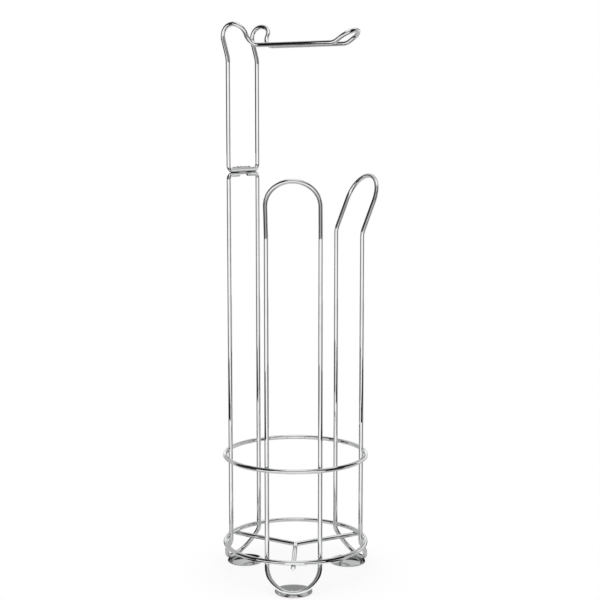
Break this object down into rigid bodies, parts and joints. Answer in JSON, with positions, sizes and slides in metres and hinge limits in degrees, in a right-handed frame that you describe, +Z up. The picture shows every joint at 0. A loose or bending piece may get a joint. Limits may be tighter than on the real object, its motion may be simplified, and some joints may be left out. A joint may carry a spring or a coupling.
{
  "type": "toilet roll storage holder",
  "caption": "Free-standing chrome wire stand that stores toilet rolls in a round column of loops and rings and carries one more on a hairpin arm.",
  "frame": {"origin": "on the floor, on the axis of the two rings and of the roll column", "axes": "+Z up; the roll arm points to -Y, with the rear loop and the arm frame on the +Y side; the YZ plane is the mirror plane"},
  "size_m": [0.1826, 0.1693, 0.61],
  "materials": {
    "chrome_wire": "bright chrome plating on steel wire",
    "chrome_foot": "bright chrome plating on pressed steel",
    "chrome_weld": "chrome plating over a lumpy weld",
    "soft_pad": "matt soft pad"
  },
  "bodies": {
    "root": {"left_loop": "chrome_wire", "right_loop": "chrome_wire", "rear_loop": "chrome_wire", "arm_frame": "chrome_wire", "upper_ring": "chrome_wire", "lower_ring": "chrome_wire", "left_spoke": "chrome_wire", "right_spoke": "chrome_wire", "rear_spoke": "chrome_wire", "left_foot": "chrome_foot", "right_foot": "chrome_foot", "rear_foot": "chrome_foot", "left_pad": "soft_pad", "right_pad": "soft_pad", "rear_pad": "soft_pad", "joint_weld": "chrome_weld"}
  },
  "joints": []
}
